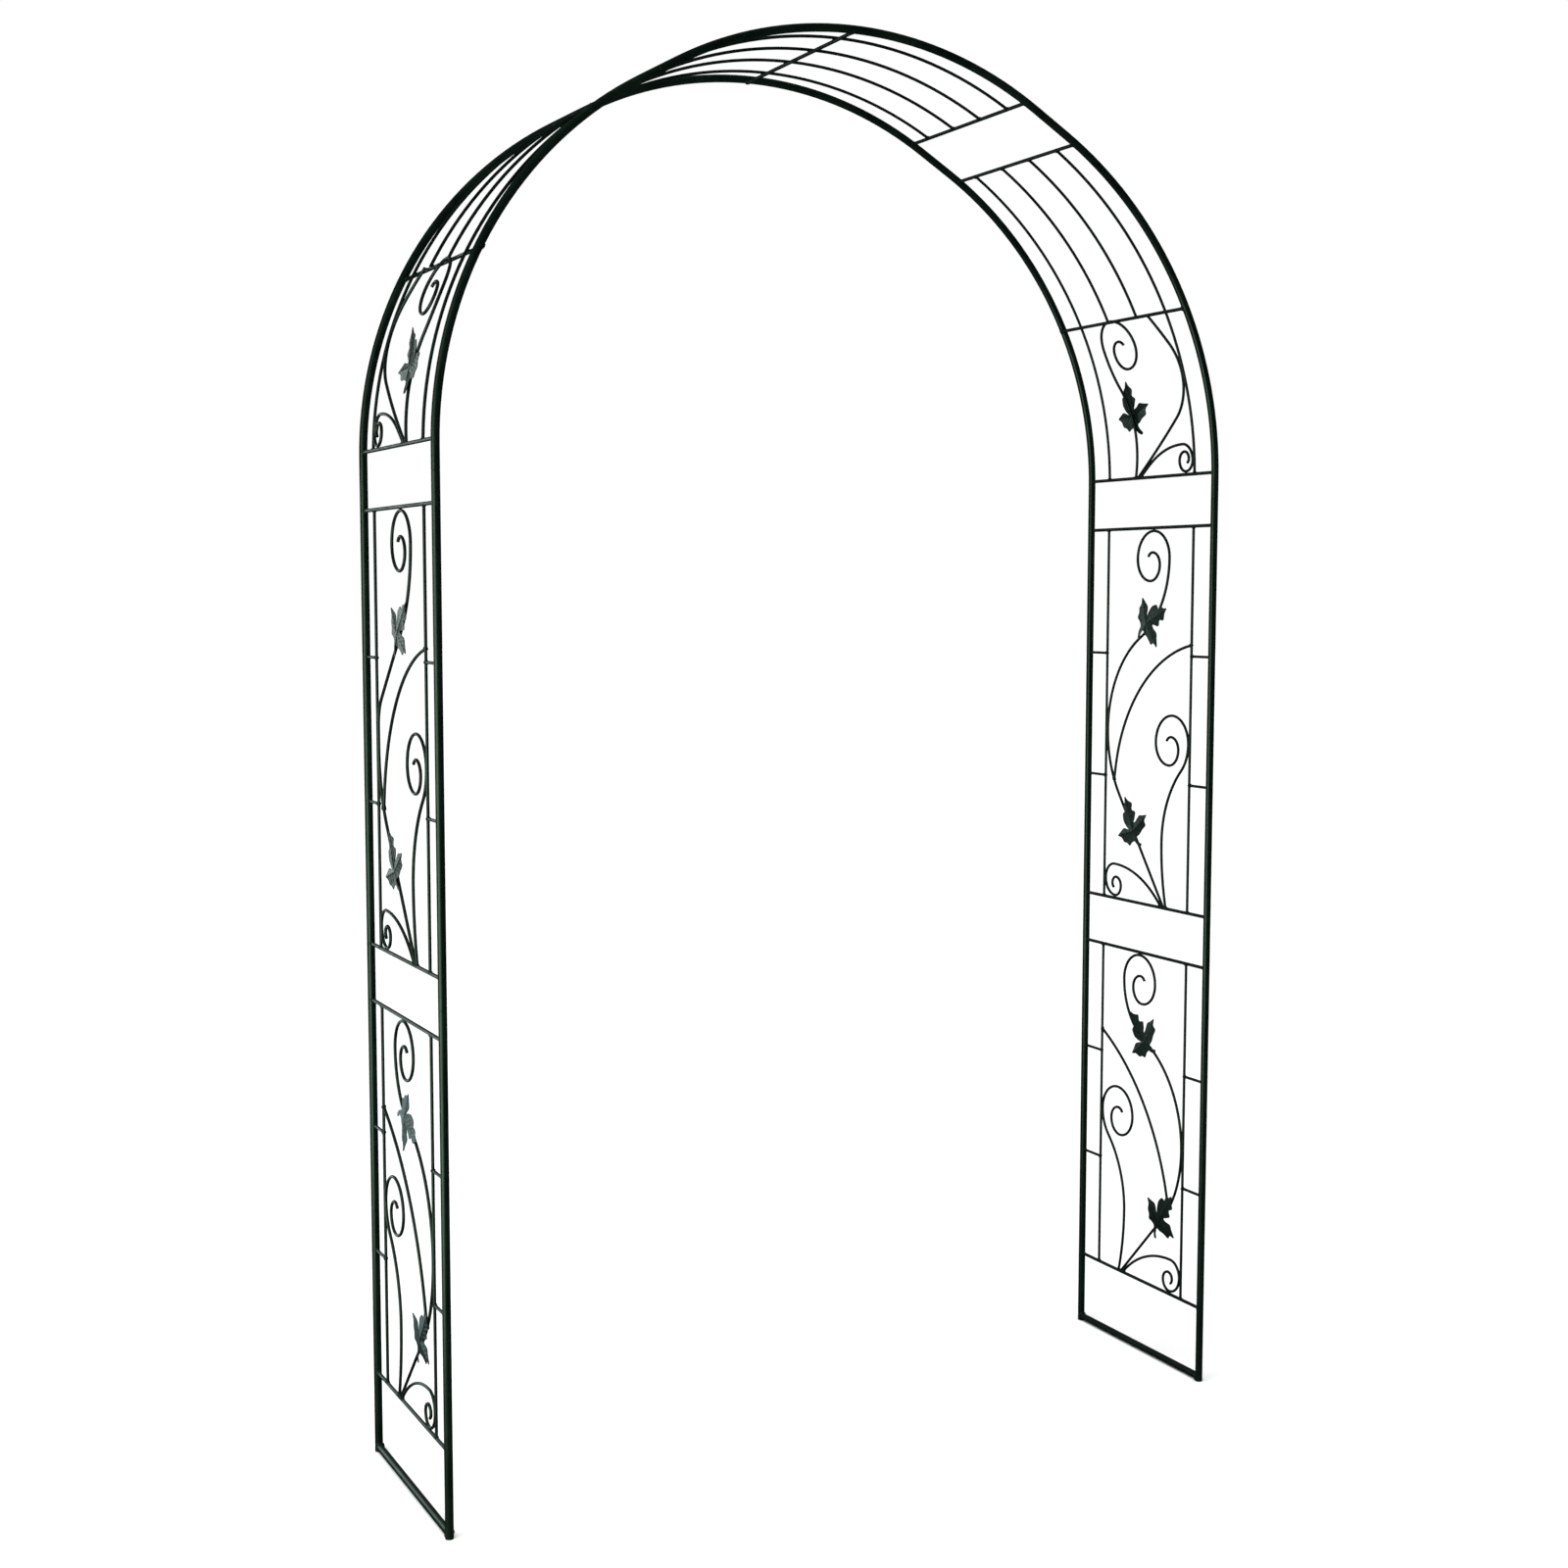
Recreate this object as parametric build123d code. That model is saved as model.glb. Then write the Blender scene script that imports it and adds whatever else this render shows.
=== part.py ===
from build123d import *
import os
from math import asin, atan, atan2, ceil, cos, degrees, hypot, radians, sin, sqrt

# Free-standing garden trellis arch, knocked down into seven welded steel panels:
# two lower side panels, two middle side panels, two arch side panels and a crown.
# Every panel is a pair of round tubes joined by rungs and filled with bent wire.
#
# Frame: millimetres, +Z up, origin on the ground at the middle of the footprint.
# X runs across the walk-through, Y through it. The right leg stands at +X, the
# front hoop at -Y and the rear hoop at +Y.
#
# A place on the arch is given by `across`, its Y, and `station`, the distance
# along the hoop's centre line from the ground up the right leg and on round the
# arch. The hoop has three bends. Between them the tubes are left straight where
# they plug together.

# Overall size
OVERALL_WIDTH = 1400.0
OVERALL_DEPTH = 400.0
OVERALL_HEIGHT = 2300.0

# Stock sizes
TUBE_DIA = 13.0
TUBE_WALL = 1.0
FOOT_BAR_DIA = 12.0
RUNG_DIA = 6.0
WIRE_DIA = 5.0
LEAF_THICKNESS = 1.2

# Push-fit joints: the lower tube's end is swaged down and enters the upper tube
SPIGOT_LENGTH = 24.0
SPIGOT_DIA = 10.5
SPIGOT_BORE = 8.5
SWAGE_LENGTH = 6.0
SEAM_CHAMFER = 0.5

# Stations of the joints and rungs
LOWER_JOINT = 802.0
UPPER_JOINT = 1588.0
RUNG_TO_JOINT = 46.0
ARCH_RUNG_TO_JOINT = 56.0
FOOT_BAR_HEIGHT = 8.0
LOWEST_RUNG = 134.0
SCROLL_ZONE = 290.0
CROWN_RUNG_OFFSET = 25.0
JOINT_STRAIGHT = 34.0
BEND_TURN = 60.0

# Wirework
UPRIGHT_INSET = 60.0
STRAIGHT_END = 8.0
CONTACT_GAP = 0.1
VINE_FOOT = -60.0
VINE_RADIUS = 200.0
VINE_TOP_OFFSET = -62.0
ARCH_LEAF_RISE = 111.0
SCROLL_RADII = (50.0, 50.0, 41.0, 29.0, 23.0, 15.0)
BASE_HOOK_RADIUS = 28.0
BRANCH_LEAD = 24.0
SIDE_SCROLL_TOUCH = 304.0
BASE_CURL_RADII = (19.0, 16.0, 12.0, 9.0)
LONGEST_ROLLED_SPAN = 45.0
LARGEST_ROLLED_TURN = 30.0

LEG_OFFSET = (OVERALL_WIDTH - TUBE_DIA) / 2
TUBE_OFFSET = (OVERALL_DEPTH - TUBE_DIA) / 2
BEND_RADIUS = LEG_OFFSET - 2 * JOINT_STRAIGHT * sin(radians(BEND_TURN))
BEND_LENGTH = BEND_RADIUS * radians(BEND_TURN)
SPRING_HEIGHT = OVERALL_HEIGHT - TUBE_DIA / 2 - BEND_RADIUS - 2 * JOINT_STRAIGHT * cos(radians(BEND_TURN))
HOOP_SECTIONS = [(SPRING_HEIGHT, 0.0)] + 2 * [(BEND_LENGTH, BEND_TURN), (2 * JOINT_STRAIGHT, 0.0)]
HOOP_SECTIONS += [(BEND_LENGTH, BEND_TURN), (SPRING_HEIGHT, 0.0)]
UPRIGHT_OFFSET = TUBE_OFFSET - UPRIGHT_INSET
TOUCH_OFFSET = UPRIGHT_OFFSET - WIRE_DIA - CONTACT_GAP
RUNG_CONTACT = (RUNG_DIA + WIRE_DIA) / 2 + CONTACT_GAP
CROWN_START = SPRING_HEIGHT + BEND_LENGTH + JOINT_STRAIGHT
CROWN_END = CROWN_START + 2 * JOINT_STRAIGHT + BEND_LENGTH
CROWN_RUNG = (CROWN_START + CROWN_END) / 2 + CROWN_RUNG_OFFSET
ARCH_BASE = UPPER_JOINT + RUNG_TO_JOINT
LATH_OFFSETS = [UPRIGHT_OFFSET * k / 3 for k in (-3, -1, 1, 3)]
SIDE_SHIFT = Location((-2 * LEG_OFFSET, 0, 0))
HALF_TURN = Location((0, 0, 0), (0, 0, 180))


# ---------------------------------------------------------------- the hoop line

def hoop_place(station):
    """The centre line's x, z and heading at a station; the heading is zero up the right leg."""
    x, z, heading = LEG_OFFSET, 0.0, 0.0
    for length, turn in HOOP_SECTIONS:
        run = min(station, length)
        if turn == 0:
            x -= run * sin(heading)
            z += run * cos(heading)
        else:
            turned = heading + run / BEND_RADIUS
            x += BEND_RADIUS * (cos(turned) - cos(heading))
            z += BEND_RADIUS * (sin(turned) - sin(heading))
            heading = turned
        station -= run
        if station <= 0:
            break
    return x, z, heading


def hoop_point(across, station, inset=0.0):
    """Point on the centre line, or inset from it towards the walk-through."""
    x, z, heading = hoop_place(station)
    return Vector(x - inset * cos(heading), across, z - inset * sin(heading))


def hoop_direction(station):
    heading = hoop_place(station)[2]
    return Vector(-sin(heading), 0, cos(heading))


def hoop_path(across, start, end):
    """Centre line along the hoop between two stations, as its straight and bent sections."""
    edges = []
    section_start = 0.0
    for length, turn in HOOP_SECTIONS:
        first, last = max(start, section_start), min(end, section_start + length)
        section_start += length
        if last <= first:
            continue
        if turn == 0:
            edges.append(Line(hoop_point(across, first), hoop_point(across, last)))
        else:
            stops = (first, (first + last) / 2, last)
            edges.append(ThreePointArc(*(hoop_point(across, s) for s in stops)))
    return Wire(edges)


def rod(path, diameter):
    """Round bar along a centre line."""
    start = Plane(origin=path @ 0, z_dir=path % 0)
    return sweep(start * Circle(diameter / 2), path=path)


def straight_rod(start, end, diameter):
    return rod(Line(start, end), diameter)


def rung_core(station, diameter=RUNG_DIA, inset=0.0):
    """Full-length rung from tube centre to tube centre, before its ends are coped."""
    ends = [hoop_point(across, station, inset) for across in (-TUBE_OFFSET, TUBE_OFFSET)]
    return straight_rod(ends[0], ends[1], diameter)


def tube_envelopes(station):
    """Solid lengths of both tubes around a station, for coping what is welded to them."""
    reach = 2 * TUBE_DIA
    start = max(0.0, station - reach)
    paths = [hoop_path(across, start, station + reach) for across in (-TUBE_OFFSET, TUBE_OFFSET)]
    return [rod(path, TUBE_DIA) for path in paths]


def cope(piece, *tools):
    """Shape a rod's ends to the pieces it is welded to, and keep the longest part."""
    for tool in tools:
        piece = piece - tool
    return piece.solids().sort_by(SortBy.VOLUME)[-1]


# ---------------------------------------------------------------- tubes and bars

def tube(across, start, end, spigot):
    """Tube between two stations; a spigot goes on past its far end into the next tube.

    Ends that meet another tube are chamfered, and an end on the ground is left square."""
    outside = rod(hoop_path(across, start, end), TUBE_DIA)
    rims = outside.faces().filter_by(GeomType.PLANE).edges()
    outside = outside.chamfer(SEAM_CHAMFER, None, [rim for rim in rims if rim.center().Z > TUBE_DIA])
    bore_end = end - SWAGE_LENGTH if spigot else end
    inside = rod(hoop_path(across, start, bore_end), TUBE_DIA - 2 * TUBE_WALL)
    if not spigot:
        return (outside - inside).solid()
    tip = end + SPIGOT_LENGTH
    neck = rod(hoop_path(across, end, tip), SPIGOT_DIA)
    neck_bore = rod(hoop_path(across, bore_end, tip), SPIGOT_BORE)
    return (outside + neck - inside - neck_bore).solid()


def tubes(start, end, spigot=True):
    return {
        "front_tube": [tube(-TUBE_OFFSET, start, end, spigot)],
        "rear_tube": [tube(TUBE_OFFSET, start, end, spigot)],
    }


def rung(station, diameter=RUNG_DIA, inset=0.0):
    return cope(rung_core(station, diameter, inset), *tube_envelopes(station))


def upright(across, bottom, top):
    """Thin straight wire between the two rungs of a leg panel."""
    core = rod(hoop_path(across, bottom, top), WIRE_DIA)
    return cope(core, rung_core(bottom), rung_core(top))


def lath(across, start, end, lapped_start=False):
    """Thin wire round the arch between two rungs, with short straight ends."""
    first = start if lapped_start else start + STRAIGHT_END
    last = end - STRAIGHT_END
    arc = ThreePointArc(*(hoop_point(across, s) for s in (first, (first + last) / 2, last)))
    tail = Line(arc @ 1, (arc @ 1) + (arc % 1) * STRAIGHT_END)
    if lapped_start:
        return cope(rod(Wire([arc, tail]), WIRE_DIA), rung_core(end))
    lead = Line((arc @ 0) - (arc % 0) * STRAIGHT_END, arc @ 0)
    return cope(rod(Wire([lead, arc, tail]), WIRE_DIA), rung_core(start), rung_core(end))


def spacers(bottom, top):
    """Short bars from each tube to its upright, at the thirds of the panel."""
    pieces = []
    for side in (-1, 1):
        neighbour = upright(side * UPRIGHT_OFFSET, bottom, top)
        for third in (1, 2):
            station = bottom + (top - bottom) * third / 3
            bar = straight_rod(
                hoop_point(side * TUBE_OFFSET, station), hoop_point(side * UPRIGHT_OFFSET, station), WIRE_DIA)
            pieces.append(cope(bar, neighbour, *tube_envelopes(station)))
    return pieces


# ---------------------------------------------------------------- bent wire
#
# Wirework is laid out flat, as on the bending bench: x across the panel and y up
# from its lower rung. A route is a start, a heading and a list of steps. A step
# (length, 0) is a straight run and a step (radius, turn) a bend. Headings and
# turns are in degrees from straight up, positive towards +x.

def arc_between(start, heading, end):
    """The one bend that leaves start at a heading and ends at a point."""
    dx, dy = end[0] - start[0], end[1] - start[1]
    turn = 2 * (degrees(atan2(dx, dy)) - heading)
    return (hypot(dx, dy) / (2 * sin(radians(abs(turn) / 2))), turn)


def s_bend(across, up, first_radius):
    """Two opposite bends that start and end straight up; across may be negative."""
    turn = 2 * atan(abs(across) / up)
    second_radius = abs(across) / (1 - cos(turn)) - first_radius
    sense = degrees(turn) if across > 0 else -degrees(turn)
    return [(first_radius, sense), (second_radius, -sense)]


def long_s_bend(across, up, first_radius, turn):
    """An s_bend of a given turn, with a straight run between its two bends."""
    sine, cosine = sin(radians(turn)), cos(radians(turn))
    across_left = abs(across) - first_radius * (1 - cosine)
    up_left = up - first_radius * sine
    second_radius = (up_left * sine - across_left * cosine) / (1 - cosine)
    run = (across_left - second_radius * (1 - cosine)) / sine
    sense = turn if across > 0 else -turn
    return [(first_radius, sense), (run, 0), (second_radius, -sense)]


def lean(across, up):
    """The bend that starts leaning and straightens up, going across by a little."""
    turn = 2 * atan(across / up)
    return degrees(turn), (up / sin(turn), -degrees(turn))


def run_to_circle(start, centre, radius):
    """Heading and length of the straight run from a point that meets a circle's +x side."""
    dx, dy = centre[0] - start[0], centre[1] - start[1]
    distance = hypot(dx, dy)
    heading = degrees(atan2(dx, dy) + asin(radius / distance))
    return heading, sqrt(distance ** 2 - radius ** 2)


def scroll_end(radii):
    """The shrinking quarter turns of a scroll, with a shorter last one."""
    return [(radius, 90.0) for radius in radii[:-1]] + [(radii[-1], 60.0)]


def flat_route(start, heading, steps, flip):
    """The route's edges on the flat; flip of -1 mirrors it across the panel."""
    edges = []
    at = Vector(flip * start[0], start[1])
    for size, turn in steps:
        direction = Vector(flip * sin(radians(heading)), cos(radians(heading)))
        if turn == 0:
            edges.append(Line(at, at + direction * size))
        else:
            edges.append(JernArc(at, direction, size, -flip * turn))
        at = edges[-1] @ 1
        heading += turn
    return edges


def upright_plane(bottom):
    """The right leg's panel plane, with x along +Y and y up from the panel's lower rung."""
    return Plane(origin=(LEG_OFFSET, 0, bottom), x_dir=(0, 1, 0), z_dir=(1, 0, 0))


def leg_wire(bottom, route, flip):
    """Bent wire in the plane of a leg panel."""
    path = upright_plane(bottom) * Wire(flat_route(*route, flip))
    return rod(path, WIRE_DIA)


def rolled_arcs(edge, base):
    """A flat edge rolled round the arch, as pairs of tangent arcs between its points."""
    turn = (edge % 0).get_angle(edge % 1)
    spans = ceil(max(edge.length / LONGEST_ROLLED_SPAN, turn / LARGEST_ROLLED_TURN))
    stops = []
    for k in range(spans + 1):
        flat, direction = edge @ (k / spans), edge % (k / spans)
        station = base + flat.Y
        along = Vector(0, direction.X, 0) + hoop_direction(station) * direction.Y
        stops.append((hoop_point(flat.X, station), along))
    arcs = []
    for (p, leaving), (q, arriving) in zip(stops, stops[1:]):
        arcs += arc_pair(p, leaving, q, arriving)
    return arcs


def arc_pair(p, leaving, q, arriving):
    """Two arcs, tangent to each other, with given ends and end directions."""
    chord, both = q - p, leaving + arriving
    slack = 2 * (1 - leaving.dot(arriving))
    reach = (sqrt(chord.dot(both) ** 2 + slack * chord.dot(chord)) - chord.dot(both)) / slack
    middle = ((p + leaving * reach) + (q - arriving * reach)) / 2
    first = Edge.make_tangent_arc(p, leaving, middle)
    return [first, Edge.make_tangent_arc(middle, first % 1, q)]


def arch_wire(route, flip):
    """Bent wire rolled to the arch's curve above the scroll zone's lower rung."""
    arcs = []
    for edge in flat_route(*route, flip):
        arcs += rolled_arcs(edge, ARCH_BASE)
    return rod(Wire(arcs), WIRE_DIA)


def vine_route(height, touch, swing):
    """Straight stem, a sweep that touches the upright, and a scroll under the top rung.

    The wire swings back from the touch in one S. A swing of (lift, radius, turn) makes
    it follow the upright for the lift first, and go straight between the S's bends."""
    centre = (TOUCH_OFFSET - VINE_RADIUS, touch)
    heading, run = run_to_circle((VINE_FOOT, 0), centre, VINE_RADIUS)
    across = VINE_TOP_OFFSET - TOUCH_OFFSET
    up = height - RUNG_CONTACT - SCROLL_RADII[0] - touch
    if swing is None:
        way_back = s_bend(across, up, VINE_RADIUS)
    else:
        lift, radius, turn = swing
        way_back = [(lift, 0)] + long_s_bend(across, up - lift, radius, turn)
    return (VINE_FOOT, 0), heading, [(run, 0), (VINE_RADIUS, -heading)] + way_back + scroll_end(SCROLL_RADII)


def base_scroll_route(foot, heading, top):
    """Low scroll that rises from its foot, hooks down at the upright and curls up."""
    across = TOUCH_OFFSET - BASE_HOOK_RADIUS - foot
    sine, cosine = sin(radians(heading)), cos(radians(heading))
    rise_radius = (top * sine - across * cosine) / (sine - 1)
    run = (across - rise_radius * cosine) / sine
    drop_radius = top - BASE_HOOK_RADIUS - RUNG_CONTACT
    steps = [(run, 0), (rise_radius, 90 - heading), (BASE_HOOK_RADIUS, 90), (drop_radius, 90)]
    steps += scroll_end(BASE_CURL_RADII)
    return (foot, 0), heading, steps


def side_scroll_route():
    """Tall scroll beside the stem: a slight lean, then an S to the other upright."""
    foot, belly, belly_height = VINE_FOOT - 7, -51.0, 120.0
    heading, straighten = lean(belly - foot, belly_height)
    sway = s_bend(-TOUCH_OFFSET - belly, SIDE_SCROLL_TOUCH - belly_height, 190.0)
    steps = [straighten] + sway + scroll_end(SCROLL_RADII)
    return (foot, 0), heading, steps


def branch_route(touch, foot_height, heading, head_height):
    """Bow from the vine up to the upright on the other side, straight at both ends."""
    foot = (TOUCH_OFFSET - VINE_RADIUS + sqrt(VINE_RADIUS ** 2 - (touch - foot_height) ** 2), foot_height)
    bend_start = (
        foot[0] + BRANCH_LEAD * sin(radians(heading)), foot[1] + BRANCH_LEAD * cos(radians(heading)))
    bend_end = (-UPRIGHT_OFFSET + STRAIGHT_END, head_height)
    bend = arc_between(bend_start, heading, bend_end)
    return foot, heading, [(BRANCH_LEAD, 0), bend, (STRAIGHT_END, 0)]


def arch_vine_route():
    foot, belly, belly_height = -48.0, -41.0, 65.0
    heading, straighten = lean(belly - foot, belly_height)
    scroll_start = SCROLL_ZONE - SCROLL_RADII[0]
    sway = s_bend(-88.0 - belly, scroll_start - belly_height, 200.0)
    steps = [straighten] + sway + scroll_end(SCROLL_RADII)
    return (foot, 0), heading, steps


def arch_bow_route():
    """Straight, a bow that touches the outer lath, and straight on to the upper rung."""
    foot, head, radius = (-42.0, 0), (77.0, SCROLL_ZONE), 100.0
    centre = (TOUCH_OFFSET - radius, 180.0)
    heading, run = run_to_circle(foot, centre, radius)
    closing, last_run = run_to_circle((head[0], 2 * centre[1] - head[1]), centre, radius)
    return foot, heading, [(run, 0), (radius, -heading - closing), (last_run, 0)]


# ---------------------------------------------------------------- the leaf

def leaf_outline():
    """Three-lobed vine leaf with a stalk: tip up, origin where the lobes meet."""
    points = [
        (0, 69), (5, 58), (16, 49), (9, 38), (20, 31), (13, 21), (6, 13), (15, 14), (29, 21),
        (38, 17), (55, 13), (41, 6), (42, -4), (26, -8), (17, -13), (6, -15), (10, -25),
        (18, -32), (13, -36), (4, -30), (-3, -19), (-12, -19), (-22, -23), (-27, -15), (-36, -11),
        (-39, 0), (-50, 7), (-38, 11), (-27, 15), (-10, 5), (-18, 15), (-23, 27), (-20, 41),
        (-10, 42), (-12, 52), (-5, 57),
    ]
    return make_face(Polyline(*points, close=True))


def leaf(across, station, tilt, outside):
    """Leaf plate on the wire at a place, its tip turned by tilt degrees from up towards +Y.

    The outline always faces the walk-through. The plate lies on that side of the
    wire, or with outside=True on the far side of it."""
    up = hoop_direction(station)
    inward = up.cross(Vector(0, 1, 0))
    tip = up * cos(radians(tilt)) + Vector(0, sin(radians(tilt)), 0)
    clearance = WIRE_DIA / 2 + CONTACT_GAP
    offset = -clearance - LEAF_THICKNESS if outside else clearance
    plane = Plane(origin=hoop_point(across, station) + inward * offset, x_dir=tip.cross(inward), z_dir=inward)
    return extrude(plane * leaf_outline(), LEAF_THICKNESS).solid()


# ---------------------------------------------------------------- panels

def side_panel(bottom, top, flip, touch, branch, leaves, swing=None):
    """Rungs, uprights and wirework shared by the lower and middle side panels."""
    height = top - bottom
    rungs = [rung(bottom), rung(top)]
    uprights = [upright(across, bottom, top) for across in (-UPRIGHT_OFFSET, UPRIGHT_OFFSET)]
    vine = leg_wire(bottom, vine_route(height, touch, swing), flip)
    arm = leg_wire(bottom, branch_route(touch, *branch), flip)
    return {
        "rungs": rungs,
        "uprights": uprights,
        "spacers": spacers(bottom, top),
        "vine": [cope(vine, rung_core(bottom))],
        "branch": [cope(arm, vine, *uprights)],
        "side_scroll": [cope(leg_wire(bottom, side_scroll_route(), flip), rung_core(bottom))],
        "base_scroll": [
            cope(leg_wire(bottom, base_scroll_route(VINE_FOOT + 7, 46.0, 65.0), flip), rung_core(bottom))],
        "leaves": [leaf(flip * across, bottom + up, angle, False) for across, up, angle in leaves],
    }


def lower_panel(upper_leaf):
    pieces = side_panel(
        LOWEST_RUNG, LOWER_JOINT - RUNG_TO_JOINT, -1, 274.0, (158.0, -15.0, 453.0),
        [(66.0, 132.0, -37.0), upper_leaf])
    pieces.update(tubes(0, LOWER_JOINT))
    foot_bar = cope(rung_core(FOOT_BAR_HEIGHT, FOOT_BAR_DIA), *tube_envelopes(FOOT_BAR_HEIGHT))
    pieces["crossbars"] = [foot_bar] + pieces.pop("rungs")
    return pieces


def middle_panel(upper_leaf, swing=None):
    pieces = side_panel(
        LOWER_JOINT + RUNG_TO_JOINT, UPPER_JOINT - RUNG_TO_JOINT, 1, 319.0, (225.0, -10.0, 481.0),
        [(35.0, 134.0, 24.0), upper_leaf], swing)
    pieces.update(tubes(LOWER_JOINT, UPPER_JOINT))
    return pieces


def arch_panel(leaf_across, leaf_tilt):
    scroll_rung = ARCH_BASE + SCROLL_ZONE
    top = CROWN_START - ARCH_RUNG_TO_JOINT
    outer = [lath(across, ARCH_BASE, top) for across in (LATH_OFFSETS[0], LATH_OFFSETS[-1])]
    inner = [lath(across, scroll_rung - RUNG_DIA / 2, top, lapped_start=True)
             for across in LATH_OFFSETS[1:-1]]
    pieces = tubes(UPPER_JOINT, CROWN_START)
    pieces["rungs"] = [rung(ARCH_BASE), rung(scroll_rung, inset=RUNG_CONTACT), rung(top)]
    pieces["laths"] = outer + inner
    foot_rung = rung_core(ARCH_BASE)
    pieces["vine"] = [cope(arch_wire(arch_vine_route(), -1), foot_rung)]
    pieces["bow"] = [cope(arch_wire(arch_bow_route(), -1), foot_rung)]
    pieces["base_scroll"] = [cope(arch_wire(base_scroll_route(-34.5, 54.0, 54.0), -1), foot_rung)]
    pieces["leaf"] = [leaf(leaf_across, ARCH_BASE + ARCH_LEAF_RISE, leaf_tilt, True)]
    return pieces


def crown_panel():
    start, end = CROWN_START + ARCH_RUNG_TO_JOINT, CROWN_END - ARCH_RUNG_TO_JOINT
    pieces = tubes(CROWN_START, CROWN_END, spigot=False)
    pieces["rungs"] = [rung(start), rung(CROWN_RUNG, inset=RUNG_CONTACT), rung(end)]
    pieces["laths"] = [lath(across, start, end) for across in LATH_OFFSETS]
    return pieces


# ---------------------------------------------------------------- assembly

def write_panel(name, pieces, place=Location()):
    for piece_name, solids in pieces.items():
        placed = Compound(children=[place * solid for solid in solids])
        export_step(placed, f"parts/{name}_{piece_name}.step")


# The left and right panels are welded by hand to one pattern, so their upper leaves sit
# differently, and the middle left vine is bent back more sharply.
os.makedirs("parts", exist_ok=True)
write_panel("lower_right", lower_panel((14.0, 459.0, 45.0)))
write_panel("lower_left", lower_panel((0.0, 467.0, -111.0)), SIDE_SHIFT)
write_panel("middle_right", middle_panel((1.0, 520.0, -66.0)))
write_panel("middle_left", middle_panel((2.0, 502.0, -46.0), (36.0, 60.0, 47.0)), SIDE_SHIFT)
write_panel("arch_right", arch_panel(48.0, 9.0))
write_panel("arch_left", arch_panel(44.0, -16.0), HALF_TURN)
write_panel("crown", crown_panel())
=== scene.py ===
from math import cos, pi, radians, sin, tan

import bmesh
import bpy
import numpy as np
from mathutils import Matrix, Vector, noise
from mathutils.bvhtree import BVHTree
from mathutils.geometry import delaunay_2d_cdt


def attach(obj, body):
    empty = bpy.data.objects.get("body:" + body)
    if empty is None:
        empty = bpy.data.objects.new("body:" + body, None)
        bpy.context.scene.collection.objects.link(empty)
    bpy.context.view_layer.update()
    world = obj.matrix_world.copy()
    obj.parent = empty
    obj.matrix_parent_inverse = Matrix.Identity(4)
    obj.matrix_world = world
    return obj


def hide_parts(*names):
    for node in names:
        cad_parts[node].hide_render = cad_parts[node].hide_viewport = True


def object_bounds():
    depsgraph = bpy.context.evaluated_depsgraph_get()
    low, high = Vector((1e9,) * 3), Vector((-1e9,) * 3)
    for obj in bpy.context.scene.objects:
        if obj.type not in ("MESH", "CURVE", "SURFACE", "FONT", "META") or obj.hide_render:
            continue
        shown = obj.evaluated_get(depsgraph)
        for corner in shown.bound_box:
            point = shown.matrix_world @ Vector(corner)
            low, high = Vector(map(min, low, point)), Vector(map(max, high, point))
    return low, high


# Garden trellis arch: dark green powder-coated steel tube and wire, with pressed leaves.
# The tubes, rungs and bent wires are the frame's own. This script adds the pressed leaves
# and the weld beads, gives everything its finish, and sets the stage, light and camera.
# Lengths are in metres. Leaf outlines and relief are worked out in millimetres.

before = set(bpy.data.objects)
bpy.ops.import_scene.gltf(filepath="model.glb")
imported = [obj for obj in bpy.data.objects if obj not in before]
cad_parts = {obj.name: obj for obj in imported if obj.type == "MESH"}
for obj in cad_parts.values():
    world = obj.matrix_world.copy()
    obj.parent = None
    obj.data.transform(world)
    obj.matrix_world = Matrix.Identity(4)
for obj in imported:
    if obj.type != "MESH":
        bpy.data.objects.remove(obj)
cad_low, cad_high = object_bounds()

MM = 0.001
DOUBLED = 0.001 * MM
LEAFY_PANELS = ["lower_right", "lower_left", "middle_right", "middle_left", "arch_right", "arch_left"]
PANELS = LEAFY_PANELS + ["crown"]


# ---------------------------------------------------------------- shared mesh helpers

def joined_mesh(node):
    """A CAD node's mesh with its doubled corners joined."""
    mesh = bmesh.new()
    mesh.from_mesh(node.data)
    bmesh.ops.remove_doubles(mesh, verts=mesh.verts, dist=DOUBLED)
    return mesh


def separate_solids(mesh):
    """The vertices of each connected part of a mesh, with the parts in the mesh's own order."""
    waiting = set(mesh.verts)
    solids = []
    for start in mesh.verts:
        if start not in waiting:
            continue
        waiting.remove(start)
        stack = [start]
        solid = []
        while stack:
            vertex = stack.pop()
            solid.append(vertex)
            for edge in vertex.link_edges:
                other = edge.other_vert(vertex)
                if other in waiting:
                    waiting.remove(other)
                    stack.append(other)
        solids.append(solid)
    return solids


def new_piece(name, mesh, material, smooth_angle):
    """Turns a bmesh into a finished piece that rides on the arch."""
    bmesh.ops.recalc_face_normals(mesh, faces=mesh.faces)
    for face in mesh.faces:
        face.smooth = True
    data = bpy.data.meshes.new(name)
    mesh.to_mesh(data)
    mesh.free()
    data.set_sharp_from_angle(angle=smooth_angle)
    data.materials.append(material)
    piece = bpy.data.objects.new(name, data)
    bpy.context.scene.collection.objects.link(piece)
    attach(piece, "root")
    return piece


# ---------------------------------------------------------------- materials

DUST = (0.060, 0.064, 0.052, 1)
CHALK = (0.014, 0.022, 0.018, 1)
GREEN_SHEEN = (0.66, 1.0, 0.78, 1)
COAT_SHINE = 0.42
MOST_CHALK = 0.45
THINNEST_DUST = 0.35
# The upward part of the normal below which dust doesn't settle.
STEEPEST_DUSTY = 0.35
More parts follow.
